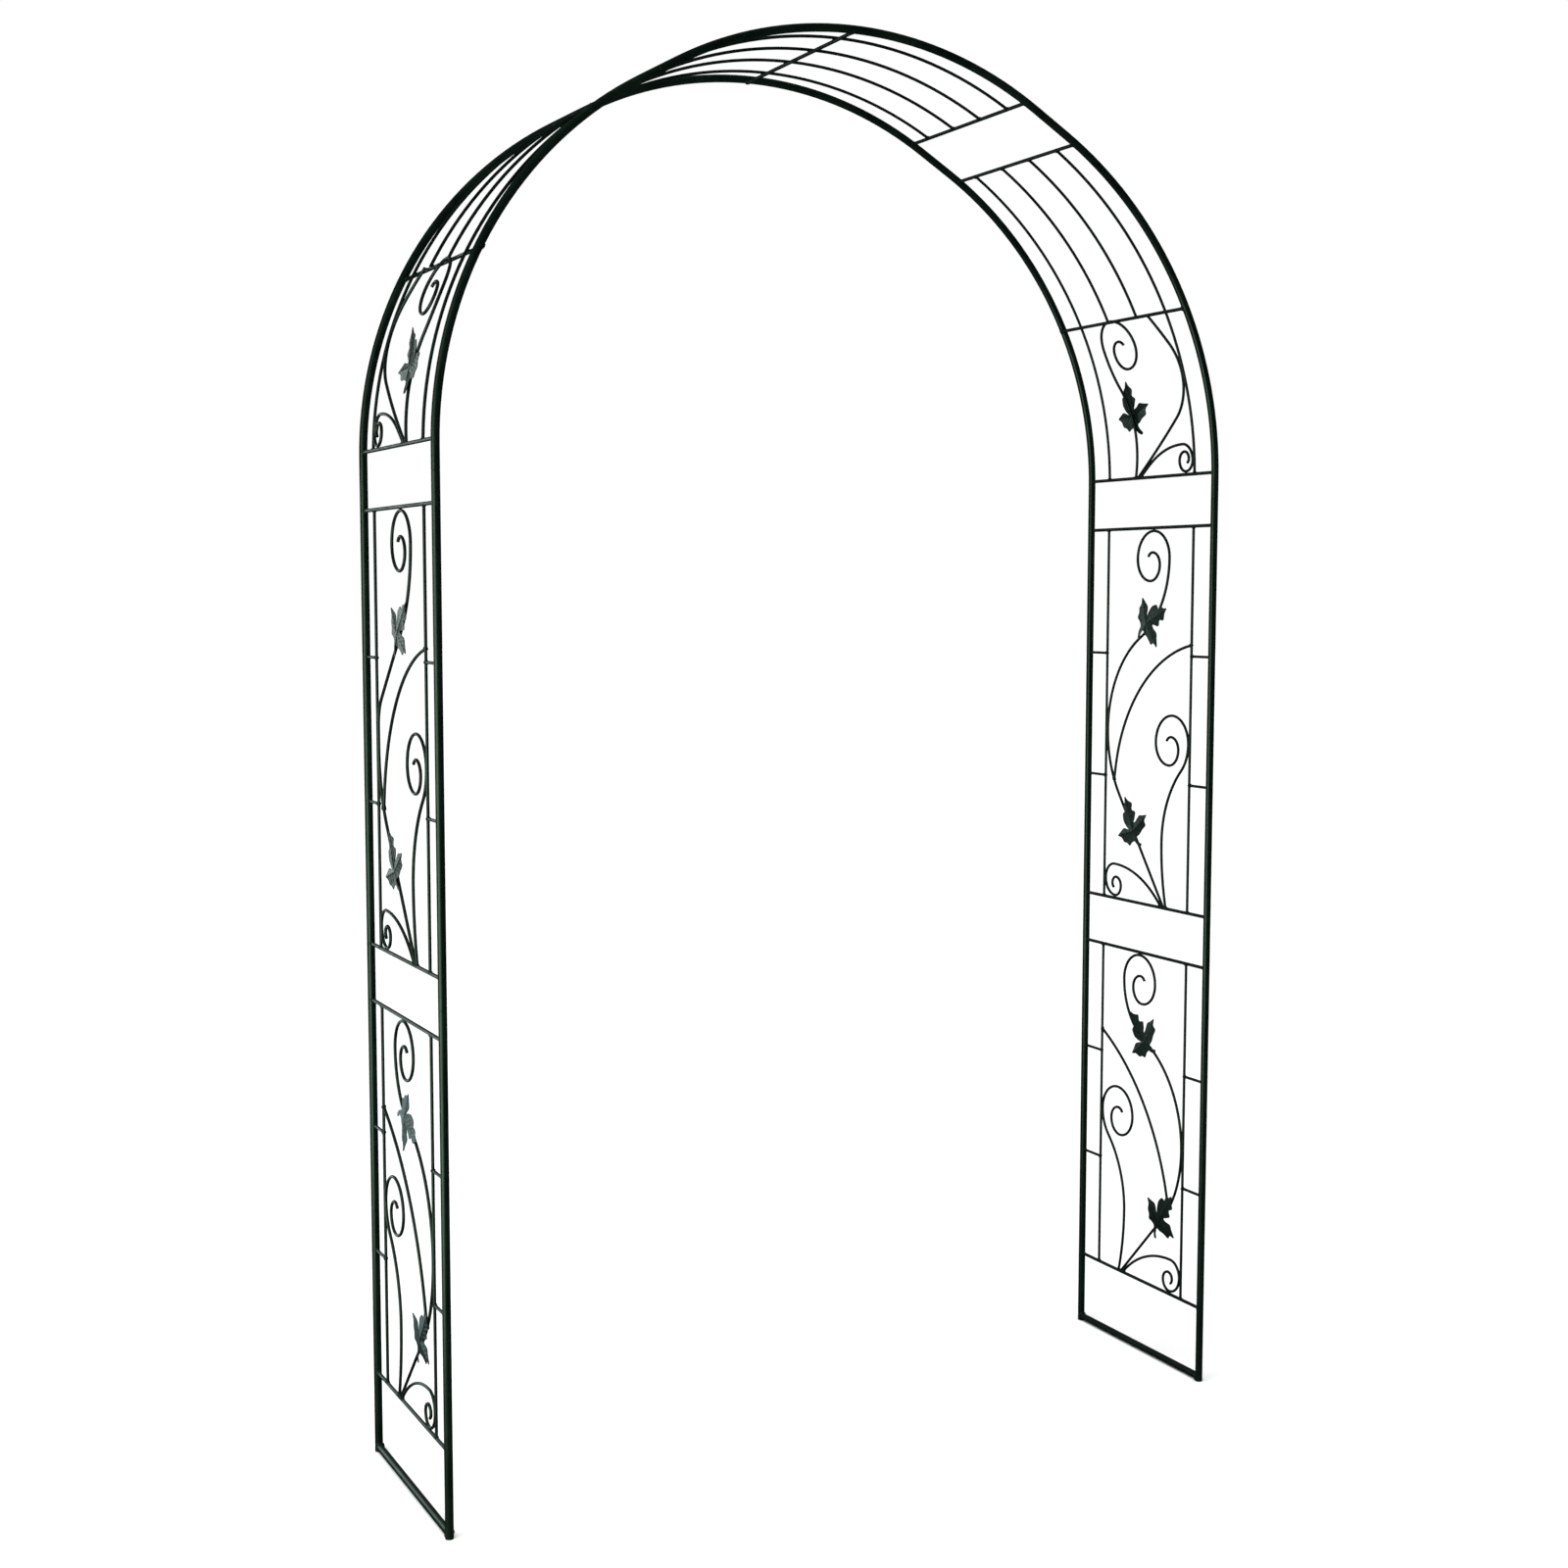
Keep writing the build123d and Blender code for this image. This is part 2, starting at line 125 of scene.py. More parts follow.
# Noise scales, in cells to a metre.
MOTTLE_SCALE = 11.0
CHALK_SCALE = 55.0
GRAIN_SCALE = 700.0
WEAR_SCALE = 26.0
WAVE_SCALE = 90.0
PEEL_SCALE = 620.0
WAVE_STRENGTH = 0.35
WAVE_HEIGHT = 0.0003
PEEL_HEIGHT = 0.00012


class NodeGraph:
    """Short calls for wiring up one material."""

    def __init__(self, name):
        self.material = bpy.data.materials.new(name)
        self.material.use_nodes = True
        self.nodes = self.material.node_tree.nodes
        self.shader = self.nodes["Principled BSDF"]

    def feed(self, socket, value):
        if isinstance(value, bpy.types.NodeSocket):
            self.material.node_tree.links.new(value, socket)
        else:
            socket.default_value = value

    def noise(self, scale, detail=3.0, roughness=0.5):
        node = self.nodes.new("ShaderNodeTexNoise")
        node.inputs["Scale"].default_value = scale
        node.inputs["Detail"].default_value = detail
        node.inputs["Roughness"].default_value = roughness
        place = self.nodes.new("ShaderNodeTexCoord")
        self.feed(node.inputs["Vector"], place.outputs["Object"])
        return node.outputs["Fac"]

    def spread(self, value, low, high, to_low, to_high):
        node = self.nodes.new("ShaderNodeMapRange")
        limits = {"From Min": low, "From Max": high, "To Min": to_low, "To Max": to_high}
        for name, number in limits.items():
            node.inputs[name].default_value = number
        self.feed(node.inputs["Value"], value)
        return node.outputs["Result"]

    def times(self, first, second):
        node = self.nodes.new("ShaderNodeMath")
        node.operation = "MULTIPLY"
        self.feed(node.inputs[0], first)
        self.feed(node.inputs[1], second)
        return node.outputs["Value"]

    def mix(self, factor, first, second):
        node = self.nodes.new("ShaderNodeMixRGB")
        self.feed(node.inputs["Fac"], factor)
        self.feed(node.inputs["Color1"], first)
        self.feed(node.inputs["Color2"], second)
        return node.outputs["Color"]

    def bump(self, height, strength, distance, normal=None):
        node = self.nodes.new("ShaderNodeBump")
        node.inputs["Strength"].default_value = strength
        node.inputs["Distance"].default_value = distance
        self.feed(node.inputs["Height"], height)
        if normal is not None:
            self.feed(node.inputs["Normal"], normal)
        return node.outputs["Normal"]

    def facing_up(self):
        """One on surfaces that face the sky, falling to nothing on steep and upright ones."""
        geometry = self.nodes.new("ShaderNodeNewGeometry")
        split = self.nodes.new("ShaderNodeSeparateXYZ")
        self.feed(split.inputs["Vector"], geometry.outputs["Normal"])
        return self.spread(split.outputs["Z"], STEEPEST_DUSTY, 1.0, 0.0, 1.0)


def powder_coat(name, dark, light, smoothest, roughest, peel, dust):
    """Baked powder coat: mottled dark green, orange peel, a little chalking and dust."""
    graph = NodeGraph(name)
    mottle = graph.spread(graph.noise(MOTTLE_SCALE, 4.0), 0.35, 0.65, 0.0, 1.0)
    coat = graph.mix(mottle, (*dark, 1), (*light, 1))
    chalk = graph.spread(graph.noise(CHALK_SCALE, 5.0, 0.65), 0.56, 0.80, 0.0, MOST_CHALK)
    coat = graph.mix(chalk, coat, CHALK)
    grains = graph.spread(graph.noise(GRAIN_SCALE, 2.0), 0.45, 0.75, THINNEST_DUST, 1.0)
    settled = graph.times(graph.times(graph.facing_up(), grains), dust)
    graph.feed(graph.shader.inputs["Base Color"], graph.mix(settled, coat, DUST))
    worn = graph.spread(graph.noise(WEAR_SCALE, 5.0, 0.6), 0.3, 0.7, smoothest, roughest)
    graph.feed(graph.shader.inputs["Roughness"], worn)
    waves = graph.bump(graph.noise(WAVE_SCALE, 2.0), WAVE_STRENGTH, WAVE_HEIGHT)
    orange_peel = graph.bump(graph.noise(PEEL_SCALE, 2.0), peel, PEEL_HEIGHT, waves)
    graph.feed(graph.shader.inputs["Normal"], orange_peel)
    graph.shader.inputs["Specular IOR Level"].default_value = COAT_SHINE
    graph.shader.inputs["Specular Tint"].default_value = GREEN_SHEEN
    return graph.material


tube_coat = powder_coat(
    "tube_coat", dark=(0.0012, 0.0035, 0.0022), light=(0.0030, 0.0080, 0.0052),
    smoothest=0.24, roughest=0.36, peel=0.35, dust=0.16)
wire_coat = powder_coat(
    "wire_coat", dark=(0.0012, 0.0028, 0.0020), light=(0.0030, 0.0064, 0.0050),
    smoothest=0.30, roughest=0.44, peel=0.35, dust=0.16)
leaf_coat = powder_coat(
    "leaf_coat", dark=(0.0030, 0.0060, 0.0050), light=(0.0090, 0.0160, 0.0135),
    smoothest=0.26, roughest=0.40, peel=0.45, dust=0.30)
weld_coat = powder_coat(
    "weld_coat", dark=(0.0012, 0.0028, 0.0020), light=(0.0034, 0.0068, 0.0052),
    smoothest=0.34, roughest=0.50, peel=0.80, dust=0.18)

for node_name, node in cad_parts.items():
    for material_slot in node.material_slots:
        material_slot.material = tube_coat if node_name.endswith("_tube") else wire_coat


# ---------------------------------------------------------------- pressed leaves
#
# Each leaf takes its place from the flat plate that stands for it in the frame. Its
# outline is in the plate's own plane, in millimetres, tip up.

LEAF_OUTLINE = [
    (0, 69), (5, 58), (16, 49), (9, 38), (20, 31), (13, 21), (6, 13), (15, 14), (29, 21),
    (38, 17), (55, 13), (41, 6), (42, -4), (26, -8), (17, -13), (6, -15), (10, -25),
    (18, -32), (13, -36), (4, -30), (-3, -19), (-12, -19), (-22, -23), (-27, -15), (-36, -11),
    (-39, 0), (-50, 7), (-38, 11), (-27, 15), (-10, 5), (-18, 15), (-23, 27), (-20, 41),
    (-10, 42), (-12, 52), (-5, 57),
]
LEAF_TIP = LEAF_OUTLINE[0]
LEAF_RIGHT_TIP = max(LEAF_OUTLINE)
LEAF_LEFT_TIP = min(LEAF_OUTLINE)
STALK_TIP = (15.5, -34)
SHEET = 1.2
# The skin's points lie in staggered rows. Row spacing and rim clearance are shares of the grid.
GRID = 1.6
ROW_SPACING = 0.866
RIM_CLEARANCE = 0.6
RIM_STEP = 1.5
KEEP_INSIDE_RIM = 1
SAME_POINT = 0.0001
CROWN_OF_VEIN = 1.40
SLOPE_FROM_VEIN = 0.105
MAIN_VEIN_HEIGHT = 0.55
MAIN_VEIN_WIDTH = 1.3
MAIN_VEIN_TAPER = 0.5
SIDE_VEIN_HEIGHT = 0.34
SIDE_VEIN_WIDTH = 0.85
SIDE_VEIN_GAP = 10.0
SIDE_VEIN_ANGLE = radians(42)
SIDE_VEIN_START = 6.0
SIDE_VEIN_FADE = 12.0
SHORTEST_LOBE_WITH_SIDE_VEINS = 45.0
PUCKER = 0.28
PUCKER_SPACING = 17.0
PUCKER_SHIFT = 3.7
ROUNDED_RIM = 0.22
LEAF_SMOOTH_ANGLE = radians(50)


def softened(points, passes=2, share=0.17):
    """A closed outline with its corners cut back a little, so that none is a knife point."""
    for _ in range(passes):
        cut = []
        for (x0, y0), (x1, y1) in zip(points, points[1:] + points[:1]):
            cut.append((x0 + (x1 - x0) * share, y0 + (y1 - y0) * share))
            cut.append((x1 + (x0 - x1) * share, y1 + (y0 - y1) * share))
        points = cut
    return points


def divided(points, longest):
    """A closed outline with its long runs divided evenly."""
    closer = []
    for (x0, y0), (x1, y1) in zip(points, points[1:] + points[:1]):
        parts = max(1, round(((x1 - x0) ** 2 + (y1 - y0) ** 2) ** 0.5 / longest))
        closer += [(x0 + (x1 - x0) * k / parts, y0 + (y1 - y0) * k / parts) for k in range(parts)]
    return closer


def inside(x, y, outline):
    """Whether a point lies within a closed outline."""
    crossings = 0
    for (x0, y0), (x1, y1) in zip(outline, outline[1:] + outline[:1]):
        if (y0 > y) != (y1 > y) and x < x0 + (y - y0) / (y1 - y0) * (x1 - x0):
            crossings += 1
    return crossings % 2 == 1


def along_and_off(x, y, tip):
    """A point's distances along a lobe's vein, off the vein and off its whole line, and its length."""
    length = (tip[0] ** 2 + tip[1] ** 2) ** 0.5
    ux, uy = tip[0] / length, tip[1] / length
    along = min(max(x * ux + y * uy, 0.0), length)
    off = ((x - along * ux) ** 2 + (y - along * uy) ** 2) ** 0.5
    return along, off, abs(x * uy - y * ux), length


def ridge(distance, width):
    """One on a vein, falling away past its width."""
    return 1.0 / (1.0 + (distance / width) ** 4)


def leaf_relief(x, y, seed):
    """How far the pressed sheet stands out from the plate's inner face, in millimetres."""
    lobes = [along_and_off(x, y, tip) for tip in (LEAF_TIP, LEAF_RIGHT_TIP, LEAF_LEFT_TIP, STALK_TIP)]
    along, off, across, length = min(lobes, key=lambda lobe: lobe[1])
    height = CROWN_OF_VEIN - SLOPE_FROM_VEIN * off
    height += MAIN_VEIN_HEIGHT * ridge(off, MAIN_VEIN_WIDTH) * (1.0 - MAIN_VEIN_TAPER * along / length)
    if along > SIDE_VEIN_START and length > SHORTEST_LOBE_WITH_SIDE_VEINS:
        step = (along - across / tan(SIDE_VEIN_ANGLE)) / SIDE_VEIN_GAP
        nearest = abs((step + 0.5) % 1.0 - 0.5) * SIDE_VEIN_GAP * sin(SIDE_VEIN_ANGLE)
        fade = min(1.0, (length - along) / SIDE_VEIN_FADE)
        height += SIDE_VEIN_HEIGHT * ridge(nearest, SIDE_VEIN_WIDTH) * fade
    height += PUCKER * noise.noise(Vector((x / PUCKER_SPACING, y / PUCKER_SPACING, seed)))
    return max(0.0, height)


leaf_rim = divided(softened(LEAF_OUTLINE), RIM_STEP)
twice_area = sum(x0 * y1 - x1 * y0 for (x0, y0), (x1, y1) in zip(leaf_rim, leaf_rim[1:] + leaf_rim[:1]))
rim_runs_clockwise = twice_area < 0
leaf_left, leaf_right = min(x for x, _ in leaf_rim), max(x for x, _ in leaf_rim)
leaf_bottom, leaf_top = min(y for _, y in leaf_rim), max(y for _, y in leaf_rim)
leaf_inner = []
for row, y in enumerate(np.arange(leaf_bottom, leaf_top, GRID * ROW_SPACING)):
    for x in np.arange(leaf_left, leaf_right, GRID) + 0.5 * GRID * (row % 2):
        nearest_rim = min((x - px) ** 2 + (y - py) ** 2 for px, py in leaf_rim)
        if nearest_rim > (RIM_CLEARANCE * GRID) ** 2 and inside(x, y, leaf_rim):
            leaf_inner.append((x, y))
rim_count = len(leaf_rim)
rim_edges = [(k, (k + 1) % rim_count) for k in range(rim_count)]
flat_points, _, flat_faces, *_ = delaunay_2d_cdt(
    [Vector(point) for point in leaf_rim + leaf_inner], rim_edges, [], KEEP_INSIDE_RIM, SAME_POINT)


def leaf_axes(vertices):
    """Where the outline's origin lies on a flat plate, in millimetres, and the plate's directions.

    They are across the leaf, towards its tip and square to it. The outline's two furthest points
    are matched with the plate's.
    """
    outline = np.array(LEAF_OUTLINE, float)
    middle = outline.mean(0)
    reach = np.hypot(*(outline - middle).T)
    first, second = np.argsort(-reach)[:2]
    points = np.array([vertex.co for vertex in vertices]) / MM
    centre = points.mean(0)
    order = np.argsort(-np.linalg.norm(points - centre, axis=1))
    far, next_far = points[order[:2]].mean(0), points[order[2:4]].mean(0)
    flat = np.array([outline[first] - middle, outline[second] - middle]).T
    axes = np.array([far - centre, next_far - centre]).T @ np.linalg.inv(flat)
    across, up = Vector(axes[:, 0]).normalized(), Vector(axes[:, 1]).normalized()
    square = across.cross(up).normalized()
    origin = Vector(centre) - across * middle[0] - up * middle[1]
    return origin, across, up, square


def add_leaf(mesh, origin, across, up, outward, seed):
    """One pressed leaf: two skins a sheet apart, joined by a rounded rim."""

    def at(x, y, height):
        return (origin + across * x + up * y + outward * (height - SHEET / 2)) * MM

    relief = [leaf_relief(point.x, point.y, seed) for point in flat_points]
    sheet = list(zip(flat_points, relief))
    inner = [mesh.verts.new(at(point.x, point.y, height)) for point, height in sheet]
    outer = [mesh.verts.new(at(point.x, point.y, height + SHEET)) for point, height in sheet]
    for face in flat_faces:
        mesh.faces.new([outer[k] for k in face])
        mesh.faces.new([inner[k] for k in reversed(face)])
    edge = []
    for k in range(rim_count):
        run = (flat_points[(k + 1) % rim_count] - flat_points[k - 1]).normalized()
        if rim_runs_clockwise:
            run = -run
        here = flat_points[k] + Vector((run.y, -run.x)) * ROUNDED_RIM
        edge.append(mesh.verts.new(at(here.x, here.y, relief[k] + SHEET / 2)))
    for k in range(rim_count):
        j = (k + 1) % rim_count
        mesh.faces.new((outer[k], outer[j], edge[j], edge[k]))
        mesh.faces.new((edge[k], edge[j], inner[j], inner[k]))


leaf_places = {}
leaf_faces = {}
for panel in LEAFY_PANELS:
    node_name = panel + ("_leaf" if panel.startswith("arch") else "_leaves")
    vine_mesh = joined_mesh(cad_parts[panel + "_vine"])
    vine = BVHTree.FromBMesh(vine_mesh)
    plates = joined_mesh(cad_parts[node_name])
    mesh = bmesh.new()
    leaf_places[panel] = []
    for count, plate in enumerate(separate_solids(plates)):
        origin, across, up, square = leaf_axes(plate)
        on_vine = vine.find_nearest(origin * MM)[0] / MM
        outward = square if (origin - on_vine).dot(square) > 0 else -square
        add_leaf(mesh, origin, across, up, outward, len(leaf_places) * PUCKER_SHIFT + count)
        leaf_places[panel].append((origin * MM, outward))
    plates.free()
    vine_mesh.free()
    leaf_faces[panel] = BVHTree.FromBMesh(mesh)
    pressed = new_piece(panel + "_pressed_leaves", mesh, leaf_coat, LEAF_SMOOTH_ANGLE)
    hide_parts(node_name)


# ---------------------------------------------------------------- weld beads
#
# Beads are found from the frame and the pressed leaves: a ring where a rod's end is cut to
# fit another piece, a short bead where two wires only touch, and one between each leaf and
# its vine. Bead lengths, widths and heights without MM are in millimetres.

WELD_REACH = 0.26 * MM
CORNER = radians(35)
RING_POINTS = 36
RING_SIDES = 8
FINEST_STEP = 1.2 * MM
CLUSTER_GAP = 6 * MM
FLUSH = 0.05 * MM
FEWEST_RIM_POINTS = 12
THINNEST_ROD = 3.5 * MM
SEAT_SEARCH = 26 * MM
SEAT_STEP = 0.8 * MM
SEAT_LENGTH = 6 * MM
WIDEST_SEAT = 4 * MM
CREST_FACING = 0.93
BITE_INTO_LEAF = 0.65
LONGEST_LEAF_BEAD = 6.0
LEAF_BEAD_WIDTH = 2.5
RING_BEAD_BASE = 0.45 * MM
RING_BEAD_PER_ROD = 0.27
RING_BEAD_LIFT = 0.22
RING_RIPPLES = 9
RING_RIPPLE_DEPTH = 0.10
RING_LUMP_DEPTH = 0.22
RING_LUMP_SCALE = 400
SHORTEST_TOUCH_BEAD = 2.5
PAST_CONTACT = 1.15
TOUCH_LUMP_DEPTH = 0.13
TOUCH_LUMP_SCALE = 2.1
TOUCH_LUMP_SHIFT = 300
TOUCH_RIPPLE_DEPTH = 0.05
TOUCH_RIPPLE_SCALE = 3.4
WELD_SMOOTH_ANGLE = radians(60)
CURVED = ("vine", "branch", "side_scroll", "base_scroll", "bow", "laths")
HOLDING = ("uprights", "rungs", "crossbars", "laths", "vine")

# Bead points are held just inside the arch's overall size.
inner_low = [value + FLUSH for value in cad_low]
inner_high = [value - FLUSH for value in cad_high]


def grouped(points, gap):
    """Sorts points into groups that lie within a gap of each other."""
    groups = []
    for point in points:
        near = [group for group in groups if any((point[0] - other[0]).length < gap for other in group)]
        merged = [point]
        for group in near:
            merged += group
        groups = [group for group in groups if all(group is not other for other in near)]
        groups.append(merged)
    return groups


def whole_rim(group):
    """Whether a group of rim points goes right round a rod's end."""
    points = np.array([point for point, _ in group])
    return len(group) > FEWEST_RIM_POINTS and np.ptp(points, axis=0).max() > THINNEST_ROD


def end_rings(mesh, tree):
    """The cut rims of a piece's rod ends that lie on another piece."""
    rims = []
    for edge in mesh.edges:
        if not edge.is_manifold or edge.calc_face_angle() < CORNER:
            continue
        hits = [tree.find_nearest(vertex.co, WELD_REACH) for vertex in edge.verts]
        if all(hit[0] is not None for hit in hits):
            rims += [(vertex.co.copy(), hit[1]) for vertex, hit in zip(edge.verts, hits)]
    return [group for group in grouped(rims, CLUSTER_GAP) if whole_rim(group)]


def sorted_by(angle, values):
    """The angles in rising order, and the values in the same order."""
    order = np.argsort(angle)
    return angle[order], values[order]


def add_ring_bead(mesh, rim):
    """A rippled fillet round a rod's end. Gives back the middle of its rim."""
    points = np.array([point for point, _ in rim])
    normals = np.array([normal for _, normal in rim])
    centre = points.mean(0)
    first, second, _ = np.linalg.svd(points - centre)[2]
    angle = np.arctan2((points - centre) @ second, (points - centre) @ first)
    steps = np.linspace(-pi, pi, RING_POINTS, endpoint=False)
    path = np.array([np.interp(steps, *sorted_by(angle, points[:, k]), period=2 * pi) for k in range(3)]).T
    lie = np.array([np.interp(steps, *sorted_by(angle, normals[:, k]), period=2 * pi) for k in range(3)]).T
    rod = np.median(np.linalg.norm(path - centre, axis=1))
    size = RING_BEAD_BASE + RING_BEAD_PER_ROD * rod
    rings = []
    for k in range(RING_POINTS):
        here = Vector(path[k])
        run = Vector(path[(k + 1) % RING_POINTS] - path[k - 1]).normalized()
        off_surface = Vector(lie[k]).normalized()
        outward = Vector(path[k] - centre)
        outward = (outward - off_surface * outward.dot(off_surface)).normalized()
        ripple = 1.0 + RING_RIPPLE_DEPTH * sin(k * 2 * pi * RING_RIPPLES / RING_POINTS)
        ripple += RING_LUMP_DEPTH * noise.noise(here * RING_LUMP_SCALE)
        middle = here + (outward + off_surface) * size * RING_BEAD_LIFT
        side = (outward - run * outward.dot(run)).normalized()
        upright = run.cross(side)
        rings.append([
            mesh.verts.new(middle + (side * cos(turn) + upright * sin(turn)) * size * ripple)
            for turn in np.linspace(0, 2 * pi, RING_SIDES, endpoint=False)])
    for k in range(RING_POINTS):
        this, after = rings[k], rings[(k + 1) % RING_POINTS]
        for j in range(RING_SIDES):
            i = (j + 1) % RING_SIDES
            mesh.faces.new((this[j], this[i], after[i], after[j]))
    return Vector(centre)


def touching(mesh, tree):
    """Points along a piece's edges that all but touch another piece, with its normal there."""
    found = []
    for edge in mesh.edges:
        spans = [(edge.verts[0].co, edge.verts[1].co)]
        while spans:
            start, end = spans.pop()
            length = (end - start).length
            middle = (start + end) / 2
            hit = tree.find_nearest(middle, length / 2 + WELD_REACH)
            if hit[0] is None:
                continue
            if length > FINEST_STEP:
                spans += [(start, middle), (middle, end)]
            elif hit[3] <= WELD_REACH:
                found.append((middle, hit[1]))
    return found


def add_touch_bead(mesh, contact, longest=5.5, width=2.1, height=1.5):
    """A short lumpy bead that fills the valley between two wires, or a wire and a leaf.

    Its length, width and height are measured from its middle, in millimetres.
    """
    points = np.array([point for point, _ in contact])
    centre = (points.min(0) + points.max(0)) / 2
    normal = Vector(np.mean([normal for _, normal in contact], axis=0)).normalized()
    run = Vector(np.linalg.svd(points - points.mean(0))[2][0])
    run = (run - normal * run.dot(normal)).normalized()
    across = normal.cross(run)
    reach = np.abs((points - centre) @ np.array(run)).max() / MM
    length = min(max(PAST_CONTACT * reach, SHORTEST_TOUCH_BEAD), longest)
    shape = Matrix((run * length * MM, across * width * MM, normal * height * MM)).transposed().to_4x4()
    place = Matrix.Translation(Vector(centre)) @ shape
    made = bmesh.ops.create_icosphere(mesh, subdivisions=3, radius=1.0)["verts"]
    for vertex in made:
        cell = vertex.co * TOUCH_LUMP_SCALE + Vector(centre) * TOUCH_LUMP_SHIFT
        lump = 1.0 + TOUCH_LUMP_DEPTH * noise.noise(cell)
        ripple = 1.0 + TOUCH_RIPPLE_DEPTH * sin(vertex.co.x * length * TOUCH_RIPPLE_SCALE)
        vertex.co = place @ (vertex.co * lump * ripple)


def add_leaf_bead(mesh, wire, leaf, middle, outward):
    """The bead between a wire's crest and a leaf's inner face, nearest where the leaf's veins meet."""
    across = outward.orthogonal().normalized()
    up = outward.cross(across)
    seats = []
    for x in np.arange(-SEAT_SEARCH, SEAT_SEARCH, SEAT_STEP):
        for y in np.arange(-SEAT_SEARCH, SEAT_SEARCH, SEAT_STEP):
            above = middle + across * x + up * y + outward * SEAT_SEARCH
            crest, normal, _, _ = wire.ray_cast(above, -outward, 2 * SEAT_SEARCH)
            if crest is None or normal.dot(outward) < CREST_FACING:
                continue
            face, _, _, gap = leaf.ray_cast(crest, outward, WIDEST_SEAT)
            if face is not None:
                seats.append(((crest - middle).length, gap, crest))
    _, gap, seat = min(seats, key=lambda found: found[0])
    middle_of_gap = outward * gap / 2
    near_seat = [crest for _, _, crest in seats if (crest - seat).length < SEAT_LENGTH]
    line = [(crest + middle_of_gap, outward) for crest in near_seat]
    add_touch_bead(mesh, line, LONGEST_LEAF_BEAD, LEAF_BEAD_WIDTH, gap / 2 / MM + BITE_INTO_LEAF)


for panel in PANELS:
    parts = {}
    for node_name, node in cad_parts.items():
        if node_name.startswith(panel) and not node_name.endswith(("leaf", "leaves")):
            parts[node_name[len(panel) + 1:]] = joined_mesh(node)
    trees = {name: BVHTree.FromBMesh(part) for name, part in parts.items()}
    welds = bmesh.new()
    for name, part in parts.items():
        rings = []
        if not name.endswith("_tube"):
            for other, tree in trees.items():
                if other != name:
                    rings += [add_ring_bead(welds, rim) for rim in end_rings(part, tree)]
        if name not in CURVED:
            continue
        for other in HOLDING:
            if other == name or other not in trees:
                continue
            for contact in grouped(touching(part, trees[other]), CLUSTER_GAP):
                place = contact[0][0]
                if all((place - ring).length > 2 * CLUSTER_GAP for ring in rings):
                    add_touch_bead(welds, contact)
    for middle, outward in leaf_places.get(panel, []):
        add_leaf_bead(welds, trees["vine"], leaf_faces[panel], middle, outward)
    for part in parts.values():
        part.free()
    for vertex in welds.verts:
        vertex.co = [min(max(value, lowest), highest)
                     for value, lowest, highest in zip(vertex.co, inner_low, inner_high)]
    new_piece(panel + "_welds", welds, weld_coat, WELD_SMOOTH_ANGLE)


# ---------------------------------------------------------------- stage

FLOOR_RADIUS = 60
FLOOR_CORNERS = 96
FLOOR_TONE_SCALE = 3.0
FLOOR_GREYS = ((0.900, 0.900, 0.900, 1), (0.915, 0.915, 0.915, 1))

floor_mesh = bpy.data.meshes.new("floor")
floor_build = bmesh.new()
bmesh.ops.create_circle(floor_build, cap_ends=True, segments=FLOOR_CORNERS, radius=FLOOR_RADIUS)
floor_build.to_mesh(floor_mesh)
floor_build.free()
floor = bpy.data.objects.new("floor", floor_mesh)
bpy.context.scene.collection.objects.link(floor)
floor_paint = NodeGraph("pale_floor")
floor_tone = floor_paint.spread(floor_paint.noise(FLOOR_TONE_SCALE), 0.3, 0.7, 0.0, 1.0)
floor_colour = floor_paint.mix(floor_tone, *FLOOR_GREYS)
floor_paint.feed(floor_paint.shader.inputs["Base Color"], floor_colour)
floor_paint.shader.inputs["Roughness"].default_value = 0.9
floor_paint.shader.inputs["Specular IOR Level"].default_value = 0.0
floor_mesh.materials.append(floor_paint.material)
# The floor is kept out of the coat's reflections, as a lit white sheet so near would wash them out.
floor.visible_glossy = False

# ---------------------------------------------------------------- light
#
# A wide overhead lamp whitens the floor and is kept out of reflections. Soft boxes at the
# left and behind draw the bright edge and the softer band down each tube, and two low
# bluish ones lift the lower left leg. The white surround shows only to the camera, which
# sees none of the lamps. Every other ray meets a faint fill in its place.

FILL_COLOUR = (0.80, 0.95, 0.92, 1)
FILL_STRENGTH = 0.03

world = bpy.data.worlds.new("studio")
world.use_nodes = True
bpy.context.scene.world = world
world_nodes, world_links = world.node_tree.nodes, world.node_tree.links
backdrop = world_nodes["Background"]
backdrop.inputs["Color"].default_value = (1, 1, 1, 1)
backdrop.inputs["Strength"].default_value = 1.0
fill = world_nodes.new("ShaderNodeBackground")
fill.inputs["Color"].default_value = FILL_COLOUR
fill.inputs["Strength"].default_value = FILL_STRENGTH
seen = world_nodes.new("ShaderNodeLightPath")
blend = world_nodes.new("ShaderNodeMixShader")
world_links.new(seen.outputs["Is Camera Ray"], blend.inputs["Fac"])
world_links.new(fill.outputs["Background"], blend.inputs[1])
world_links.new(backdrop.outputs["Background"], blend.inputs[2])
world_links.new(blend.outputs["Shader"], world_nodes["World Output"].inputs["Surface"])


def add_light(name, kind, place, target, energy, colour, **settings):
    """A lamp that the camera doesn't see. The sun isn't seen in reflections either."""
    data = bpy.data.lights.new(name, kind)
    data.energy = energy
    data.color = colour
    for setting, value in settings.items():
        setattr(data, setting, value)
    light = bpy.data.objects.new(name, data)
    light.location = place
    light.rotation_euler = (Vector(target) - Vector(place)).to_track_quat("-Z", "Y").to_euler()
    light.visible_camera = False
    light.visible_glossy = kind == "AREA"
    bpy.context.scene.collection.objects.link(light)


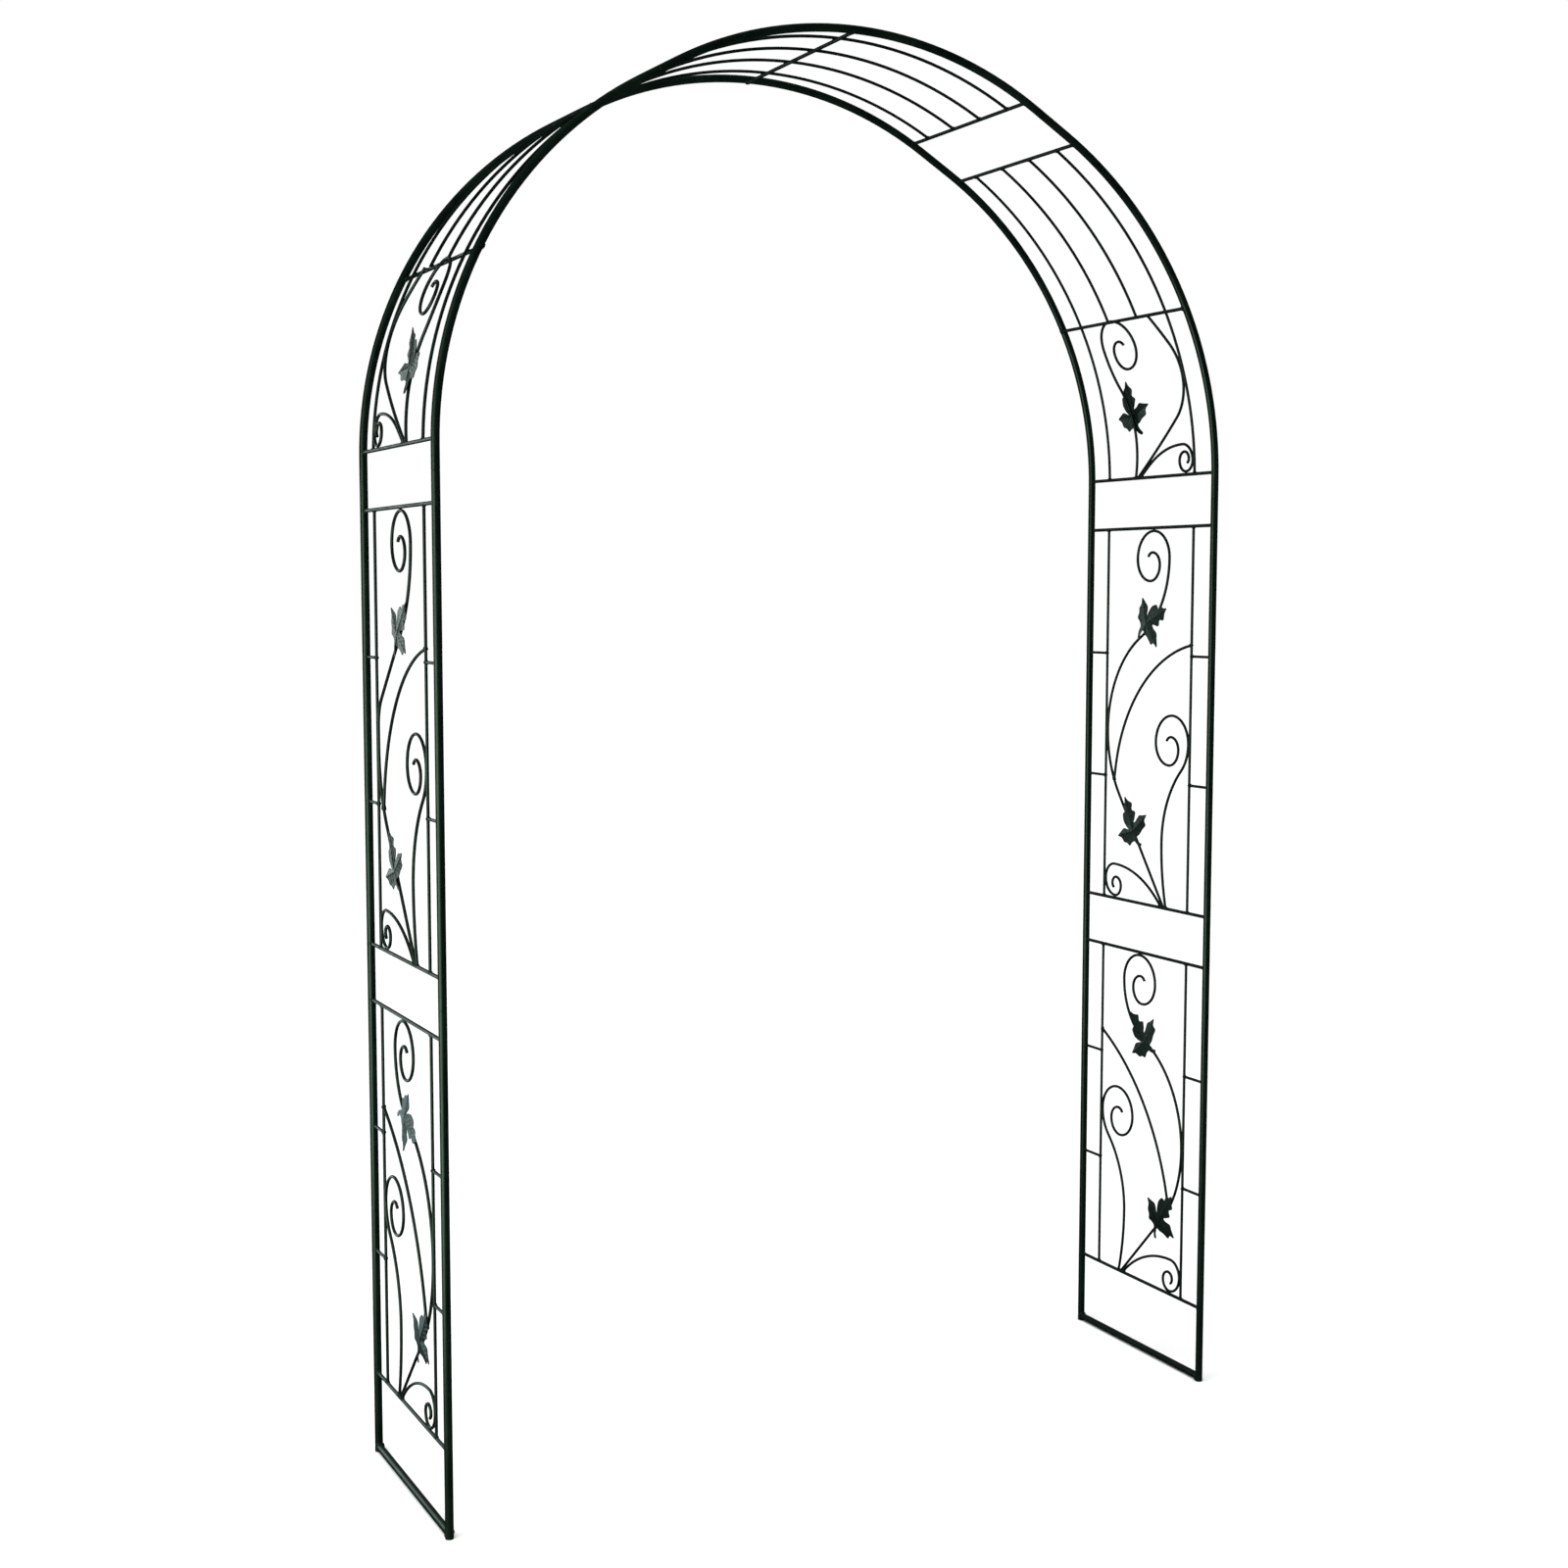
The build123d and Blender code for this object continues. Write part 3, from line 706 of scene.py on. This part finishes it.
add_light("overhead", "SUN", place=(-1.0, -0.6, 5.0), target=(0, 0, 0),
          energy=3.9, colour=(1, 1, 1), angle=radians(70))
add_light("left_box", "AREA", place=(-2.1, -0.6, 0.75), target=(0, -0.4, 0.75),
          energy=34.0, colour=(0.92, 1.0, 0.84), shape="RECTANGLE", size=1.5, size_y=1.9)
add_light("upper_left_box", "AREA", place=(-2.1, -0.5, 2.2), target=(0, -0.3, 2.2),
          energy=4.0, colour=(0.90, 1.0, 0.95), shape="RECTANGLE", size=1.4, size_y=1.1)
add_light("back_left_box", "AREA", place=(-2.3, 6.0, 1.5), target=(-0.7, 0, 1.2),
          energy=2.4, colour=(0.88, 1.0, 0.97), shape="RECTANGLE", size=1.9, size_y=3.6, spread=radians(40))
add_light("low_back_box", "AREA", place=(-1.0, 0.75, 0.3), target=(-0.7, 0, 0.4),
          energy=0.9, colour=(0.70, 0.95, 1.0), shape="RECTANGLE", size=0.5, size_y=0.6)
add_light("low_box", "AREA", place=(-2.2, -1.9, 0.2), target=(-0.7, 0, 0.4),
          energy=4.0, colour=(0.50, 0.84, 1.0), shape="RECTANGLE", size=0.9, size_y=0.4)

# ---------------------------------------------------------------- camera

CAMERA_PLACE = Vector((-1.627, -3.297, 1.4055))
CAMERA_YAW = radians(29.827)
CAMERA_PITCH = radians(-5.056)
CAMERA_ROLL = radians(0.419)
CAMERA_LENS = 50.03
CAMERA_SHIFT = (-0.1022, 0.0065)

forward = Vector((
    sin(CAMERA_YAW) * cos(CAMERA_PITCH), cos(CAMERA_YAW) * cos(CAMERA_PITCH), sin(CAMERA_PITCH)))
level = Vector((cos(CAMERA_YAW), -sin(CAMERA_YAW), 0))
upward = level.cross(forward)
right = level * cos(CAMERA_ROLL) + upward * sin(CAMERA_ROLL)
top = upward * cos(CAMERA_ROLL) - level * sin(CAMERA_ROLL)
camera_data = bpy.data.cameras.new("camera")
camera_data.lens = CAMERA_LENS
camera_data.shift_x, camera_data.shift_y = CAMERA_SHIFT
camera = bpy.data.objects.new("camera", camera_data)
bpy.context.scene.collection.objects.link(camera)
turn = Matrix((right, top, -forward)).transposed()
camera.matrix_world = Matrix.Translation(CAMERA_PLACE) @ turn.to_4x4()
bpy.context.scene.camera = camera
bpy.context.scene.view_settings.view_transform = "Standard"
